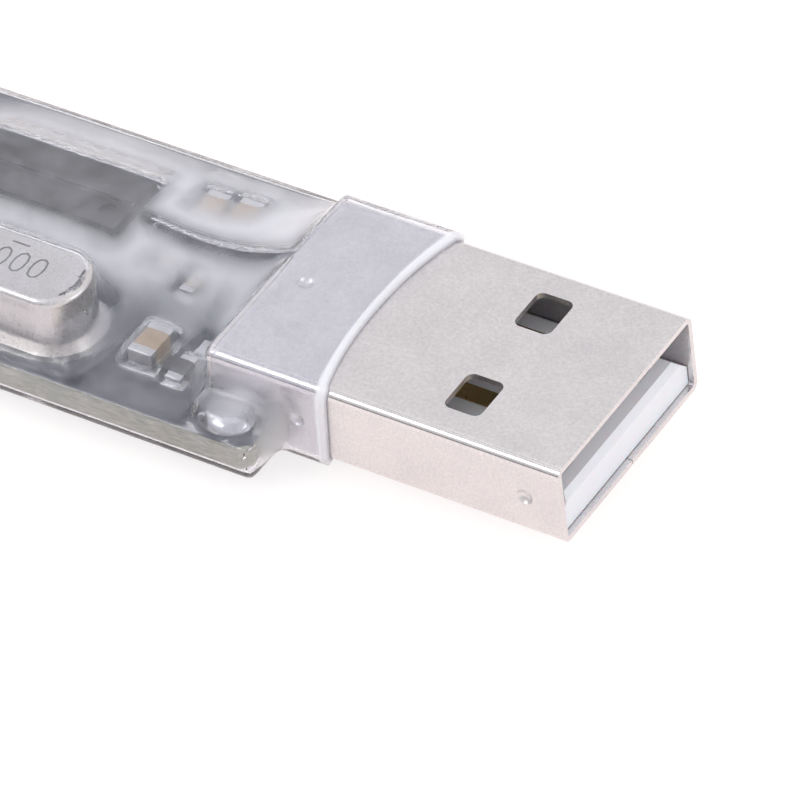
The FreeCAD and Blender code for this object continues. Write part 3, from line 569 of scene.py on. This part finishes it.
def clearance_at(stations, low, high, edge, ends, offset):
    """For each station, the half-axes in which an obstacle stands: active, shrink of its width, reach."""
    outside = np.maximum(np.maximum(low[0] - stations, stations - high[0]), 0.0)
    reach = offset + edge
    away = np.where(outside > 0, outside + edge, 0.0)
    active = away < reach
    radius = np.sqrt(np.maximum(reach ** 2 - away ** 2, 0.0))
    inside = np.minimum(stations - low[0], high[0] - stations)
    narrow = np.zeros_like(stations)
    if ends > 0:
        into = np.clip(ends - inside, 0, ends)
        narrow = ends - np.sqrt(np.maximum(ends ** 2 - into ** 2, 0.0))
    return active, narrow, radius


def push_out(stations, y, z, obstacles, offset):
    """Moves every point that lies closer to an obstacle than offset out to that distance."""
    for low, high, edge, ends in obstacles:
        active, narrow, radius = clearance_at(stations, low, high, edge, ends, offset)
        rows = np.nonzero(active)[0]
        if not len(rows):
            continue
        a, b = rows[0], rows[-1] + 1
        yy, zz = y[a:b], z[a:b]
        shrink = narrow[a:b, None]
        middle = (low[1] + high[1]) / 2
        half = np.maximum((high[1] - low[1]) / 2 - edge - shrink, 0.01)
        mid_z = (low[2] + high[2]) / 2
        half_z = max((high[2] - low[2]) / 2 - edge, 0.01)
        dy, dz = yy - middle, zz - mid_z
        cy, cz = np.clip(dy, -half, half), np.clip(dz, -half_z, half_z)
        ry, rz = dy - cy, dz - cz
        far = np.hypot(ry, rz)
        need = radius[a:b, None]
        near = (far < need) & (far > 1e-9)
        scale = np.where(near, need / np.maximum(far, 1e-9), 1.0)
        yy += ry * (scale - 1)
        zz += rz * (scale - 1)
        within = (far <= 1e-9) & (need > 0)
        if within.any():
            to_y, to_z = half - np.abs(dy), half_z - np.abs(dz)
            by_y = within & (to_y < to_z)
            by_z = within & ~(to_y < to_z)
            yy += np.where(by_y, np.sign(dy) * (to_y + need), 0)
            zz += np.where(by_z, np.where(dz >= 0, 1, -1) * (to_z + need), 0)
        y[a:b], z[a:b] = yy, zz


def lift_of(stations, y, z, obstacles, offset):
    """How far each point of the film stands off the nearest obstacle, beyond lying on it."""
    best = np.full(y.shape, 9.0)
    for low, high, edge, ends in obstacles:
        outside = np.maximum(np.maximum(low[0] - stations, stations - high[0]), 0.0)[:, None]
        dy = np.maximum(np.maximum(low[1] - y, y - high[1]), 0)
        dz = np.maximum(np.maximum(low[2] - z, z - high[2]), 0)
        best = np.minimum(best, np.sqrt(outside ** 2 + dy ** 2 + dz ** 2))
    return np.clip(best - offset, 0, None)


def section_start(stations, obstacles, count):
    """A roomy ring round everything at each station, which the film then shrinks from."""
    half = np.zeros(len(stations))
    top = np.full(len(stations), -9.0)
    bottom = np.full(len(stations), 99.0)
    for low, high, _, _ in obstacles:
        near = (stations > low[0] - 1.2) & (stations < high[0] + 1.2)
        half = np.where(near, np.maximum(half, max(-low[1], high[1])), half)
        top = np.where(near, np.maximum(top, high[2]), top)
        bottom = np.where(near, np.minimum(bottom, low[2]), bottom)
    half, top, bottom = half + 0.5, top + 0.5, bottom - 0.5
    angle = np.linspace(0, 2 * math.pi, count, endpoint=False)
    power = 0.35
    cy = np.sign(np.cos(angle)) * np.abs(np.cos(angle)) ** power
    cz = np.sign(np.sin(angle)) * np.abs(np.sin(angle)) ** power
    y = half[:, None] * cy
    z = (top + bottom)[:, None] / 2 + (top - bottom)[:, None] / 2 * cz
    return y, z


def even_out(y, z):
    """Spaces the points of each ring evenly along it."""
    for i in range(len(y)):
        ry, rz = np.append(y[i], y[i, 0]), np.append(z[i], z[i, 0])
        run = np.concatenate([[0], np.cumsum(np.hypot(np.diff(ry), np.diff(rz)))])
        even = np.linspace(0, run[-1], len(y[i]), endpoint=False)
        y[i], z[i] = np.interp(even, run, ry), np.interp(even, run, rz)


def ring_normals(y, z):
    ty = np.roll(y, -1, 1) - np.roll(y, 1, 1)
    tz = np.roll(z, -1, 1) - np.roll(z, 1, 1)
    size = np.maximum(np.hypot(ty, tz), 1e-9)
    return tz / size, -ty / size


def tightness(y, z):
    """Tight on the near side and underneath, slack in the middle, taut beyond the crease."""
    above = z > BOARD_TOP / MM + 0.2
    middle = 1 / (1 + np.exp(-(y + 3.0) / 0.35)) * above
    beyond = 1 / (1 + np.exp(-(y - CREASE_Y) / 0.3)) * above
    return TIGHT + (SLACK - TIGHT) * middle + (TAUT - SLACK) * beyond


def relax(stations, y, z, obstacles, offset, steps, settling):
    """Tension and an even inward pull, stopped by whatever is underneath."""
    for step in range(steps):
        ny, nz = ring_normals(y, z)
        spacing = np.hypot(np.roll(y, -1, 1) - y, np.roll(z, -1, 1) - z).mean(axis=1, keepdims=True)
        pull = 0.15 * spacing ** 2 * tightness(y, z)
        if step < settling:
            pull = pull + 0.02
        for values, normal in ((y, ny), (z, nz)):
            around = (np.roll(values, 1, 1) + np.roll(values, -1, 1)) / 2 - values
            along = np.zeros_like(values)
            along[1:-1] = (values[2:] + values[:-2]) / 2 - values[1:-1]
            values += 0.30 * around + 0.20 * along - pull * normal
        push_out(stations, y, z, obstacles, offset)
        if step % 40 == 39 and step < steps - 30:
            even_out(y, z)
            push_out(stations, y, z, obstacles, offset)


def shrink_film(stations, obstacles, count, offset):
    """Shrinks a coarse net first, then a fine one that starts from it."""
    coarse = stations[::2]
    y, z = section_start(coarse, obstacles, count // 2)
    even_out(y, z)
    relax(coarse, y, z, obstacles, offset, ROUGH_STEPS, 200)
    fine = []
    for values in (y, z):
        ring = np.concatenate([values, values[:, :1]], axis=1)
        ring = np.stack([np.interp(np.arange(count) / 2, np.arange(count // 2 + 1), row) for row in ring])
        fine.append(np.stack([np.interp(stations, coarse, column) for column in ring.T], axis=1))
    y, z = fine
    relax(stations, y, z, obstacles, offset, FINE_STEPS, 0)
    return y, z


def lip_shift(y, z, half):
    """The cut at the plug end: cupped back between the corners, and a little down each side."""
    across = np.clip(np.abs(y) / half, 0, 1)
    down = np.clip((SHELL_TOP / MM - z) / (SHELL_TOP / MM - SHELL_BOTTOM / MM), 0, 1)
    return LIP_FORWARD - LIP_CUP * (1 - across ** 2.2) - 0.35 * down * across


def film():
    stations = np.arange(SLEEVE_LOW[0] / MM + 0.1, SLEEVE_HIGH[0] / MM, FILM_STEP)
    obstacles = film_obstacles()
    count = FILM_POINTS
    offset = FILM_WALL + FILM_GAP
    y, z = shrink_film(stations, obstacles, count, offset)
    lift = lift_of(stations, y, z, obstacles, offset)
    middle_y = CREASE_Y + (CREASE_END_Y - CREASE_Y) * np.clip(stations / 10, 0, 1)[:, None]
    ridge = np.exp(-((y - middle_y) / 0.12) ** 2) * (z > BOARD_TOP / MM + 0.4)
    along = np.clip((4.6 - stations) / 2.5, 0, 1)[:, None]
    ny, nz = ring_normals(y, z)
    y += ny * ridge * along * 0.07
    z += nz * ridge * along * 0.07
    x = np.repeat(stations[:, None], count, 1)
    front = stations[-1]
    ease = np.clip((x - (front - 2.5)) / 2.5, 0, 1) ** 2
    x = x + lip_shift(y, z, HALF_SHELL / MM) * ease
    outer = np.stack([x, y, z], -1)
    along_x = np.gradient(outer, axis=0)
    around = (np.roll(outer, -1, 1) - np.roll(outer, 1, 1)) / 2
    normal = np.cross(around, along_x)
    normal /= np.maximum(np.linalg.norm(normal, axis=2, keepdims=True), 1e-9)
    centre = outer.mean(axis=1, keepdims=True)
    if ((outer - centre) * normal).sum() < 0:
        normal = -normal
    inner = outer - normal * FILM_WALL
    inner[-1, :, 0] += LIP_SLANT
    side = np.clip((y + 3.5) / 6.0, 0, 1)
    haze = np.clip(lift / 1.1, 0, 1) * (0.30 + 0.70 * side * side * (3 - 2 * side))
    haze[-2:] = 1.6
    points = np.concatenate([outer.reshape(-1, 3), inner.reshape(-1, 3)]) * MM
    rows = len(stations)
    shift = rows * count
    faces = []
    for i in range(rows - 1):
        for j in range(count):
            k = (j + 1) % count
            a, b, c, d = i * count + j, i * count + k, (i + 1) * count + k, (i + 1) * count + j
            faces.append((a, b, c, d))
            faces.append((d + shift, c + shift, b + shift, a + shift))
    for row, turn in ((0, 1), (rows - 1, -1)):
        for j in range(count):
            k = (j + 1) % count
            a, b = row * count + j, row * count + k
            faces.append((a, a + shift, b + shift, b)[::turn])
    made = mesh_object("shrunk_film", points, faces, MATERIALS["clear_sleeve"], smooth=True)
    for title, values in (("lift", np.clip(lift, 0, 1)), ("haze", haze)):
        attribute = made.data.attributes.new(title, "FLOAT", "POINT")
        attribute.data.foreach_set("value", np.tile(values.ravel(), 2).astype(np.float32))
    recalculate(made)
    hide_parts("heat_shrink_sleeve")
    return made


def recalculate(made):
    build = bmesh.new()
    build.from_mesh(made.data)
    bmesh.ops.recalc_face_normals(build, faces=build.faces)
    build.to_mesh(made.data)
    build.free()


# ---- Stage ---------------------------------------------------------------------------------
def white_floor():
    """White to the camera, warm white in reflections; its soft shadow is only a part of its brightness."""
    size = 0.6
    mesh = bpy.data.meshes.new("floor")
    square = [(-size, -size, 0), (size, -size, 0), (size, size, 0), (-size, size, 0)]
    mesh.from_pydata(square, [], [(0, 1, 2, 3)])
    floor = bpy.data.objects.new("floor", mesh)
    bpy.context.scene.collection.objects.link(floor)
    floor.location.z = -0.02 * MM
    material = bpy.data.materials.new("floor")
    material.use_nodes = True
    tree = material.node_tree
    tree.nodes.clear()
    output = tree.nodes.new("ShaderNodeOutputMaterial")
    diffuse = tree.nodes.new("ShaderNodeBsdfDiffuse")
    diffuse.inputs[0].default_value = (0.46, 0.43, 0.42, 1)
    path = tree.nodes.new("ShaderNodeLightPath")
    to_camera = tree.nodes.new("ShaderNodeEmission")
    to_camera.inputs[0].default_value = (1, 1, 1, 1)
    to_camera.inputs[1].default_value = 0.70
    reflected = tree.nodes.new("ShaderNodeEmission")
    reflected.inputs[0].default_value = (1.0, 0.93, 0.91, 1)
    bent = math_node(tree, "MAXIMUM", path.outputs["Is Glossy Ray"], path.outputs["Is Transmission Ray"])
    link(tree, remap(tree, bent, 0, 1, 0.38, 0.68), reflected.inputs[1])
    mix = tree.nodes.new("ShaderNodeMixShader")
    link(tree, path.outputs["Is Camera Ray"], mix.inputs[0])
    link(tree, reflected.outputs[0], mix.inputs[1])
    link(tree, to_camera.outputs[0], mix.inputs[2])
    add = tree.nodes.new("ShaderNodeAddShader")
    link(tree, diffuse.outputs[0], add.inputs[0])
    link(tree, mix.outputs[0], add.inputs[1])
    link(tree, add.outputs[0], output.inputs[0])
    mesh.materials.append(material)


def studio_world():
    """White to the camera; to the object a tent with a dim strip overhead and a dim horizon."""
    world = bpy.data.worlds.new("studio")
    bpy.context.scene.world = world
    world.use_nodes = True
    tree = world.node_tree
    tree.nodes.clear()
    output = tree.nodes.new("ShaderNodeOutputWorld")
    tent = tree.nodes.new("ShaderNodeBackground")
    white = tree.nodes.new("ShaderNodeBackground")
    white.inputs[1].default_value = 1.0
    coordinate = tree.nodes.new("ShaderNodeTexCoord")
    split = tree.nodes.new("ShaderNodeSeparateXYZ")
    link(tree, coordinate.outputs["Generated"], split.inputs[0])
    rise = remap(tree, split.outputs[2], 0.05, 0.40, 0.22, 0.86)
    dim = math_node(tree, "ABSOLUTE", math_node(tree, "SUBTRACT", split.outputs[1], 0.20))
    strip = remap(tree, dim, 0.06, 0.22, 0.45, 1.0)
    front = remap(tree, split.outputs[0], 0.1, 0.5, 0.0, 0.85)
    beyond = remap(tree, split.outputs[1], 0.5, 0.9, 0.0, 1.1)
    level = math_node(tree, "MAXIMUM", times(tree, rise, strip), front)
    link(tree, math_node(tree, "MAXIMUM", level, beyond), tent.inputs[1])
    tent.inputs[0].default_value = (0.99, 0.98, 1.0, 1)
    path = tree.nodes.new("ShaderNodeLightPath")
    mix = tree.nodes.new("ShaderNodeMixShader")
    link(tree, path.outputs["Is Camera Ray"], mix.inputs[0])
    link(tree, tent.outputs[0], mix.inputs[1])
    link(tree, white.outputs[0], mix.inputs[2])
    link(tree, mix.outputs[0], output.inputs[0])


def softbox(name, direction, distance, width, height, power, colour=(1, 1, 1)):
    data = bpy.data.lights.new(name, "AREA")
    data.shape = "RECTANGLE"
    data.size, data.size_y = width, height
    data.energy = power
    data.color = colour
    lamp = bpy.data.objects.new(name, data)
    bpy.context.scene.collection.objects.link(lamp)
    towards = Vector(direction).normalized()
    lamp.location = towards * distance
    lamp.rotation_euler = towards.to_track_quat("Z", "Y").to_euler()
    lamp.visible_camera = False


def lights():
    softbox("overhead", (-0.1, 0.2, 0.97), 0.5, 0.40, 0.40, 0.22)
    softbox("near_left", (-0.45, -0.50, 0.74), 0.5, 0.26, 0.14, 0.40, (1.0, 0.99, 0.98))
    softbox("right", (0.9, 0.1, 0.5), 0.5, 0.25, 0.25, 0.40)


def camera():
    """A long lens, level turned a little, aimed at the plug's middle."""
    azimuth, elevation, roll = math.radians(37.61), math.radians(42.14), math.radians(-8.06)
    forward = Vector((-math.cos(elevation) * math.sin(azimuth),
                      math.cos(elevation) * math.cos(azimuth), -math.sin(elevation)))
    level = forward.cross(Vector((0, 0, 1))).normalized()
    upward = level.cross(forward)
    right = level * math.cos(roll) + upward * math.sin(roll)
    up = upward * math.cos(roll) - level * math.sin(roll)
    aim = Vector((MOUTH - 10.70 * MM, -2.926 * MM, SHELL_BOTTOM + 2.25 * MM))
    data = bpy.data.cameras.new("camera")
    data.sensor_width = 36.0
    data.lens = 328.5
    data.clip_start = 0.01
    made = bpy.data.objects.new("camera", data)
    bpy.context.scene.collection.objects.link(made)
    place = aim - forward * 0.34006
    turn = Matrix((right, up, -forward)).transposed()
    made.matrix_world = Matrix.Translation(place) @ turn.to_4x4()
    bpy.context.scene.camera = made


# ---- The scene -----------------------------------------------------------------------------
MATERIALS = make_materials()
dress_cad_nodes(MATERIALS)
camera()
lights()
studio_world()
white_floor()
bpy.context.scene.view_settings.view_transform = "Standard"
pads()
traces()
board_marks()
can_number()
film()
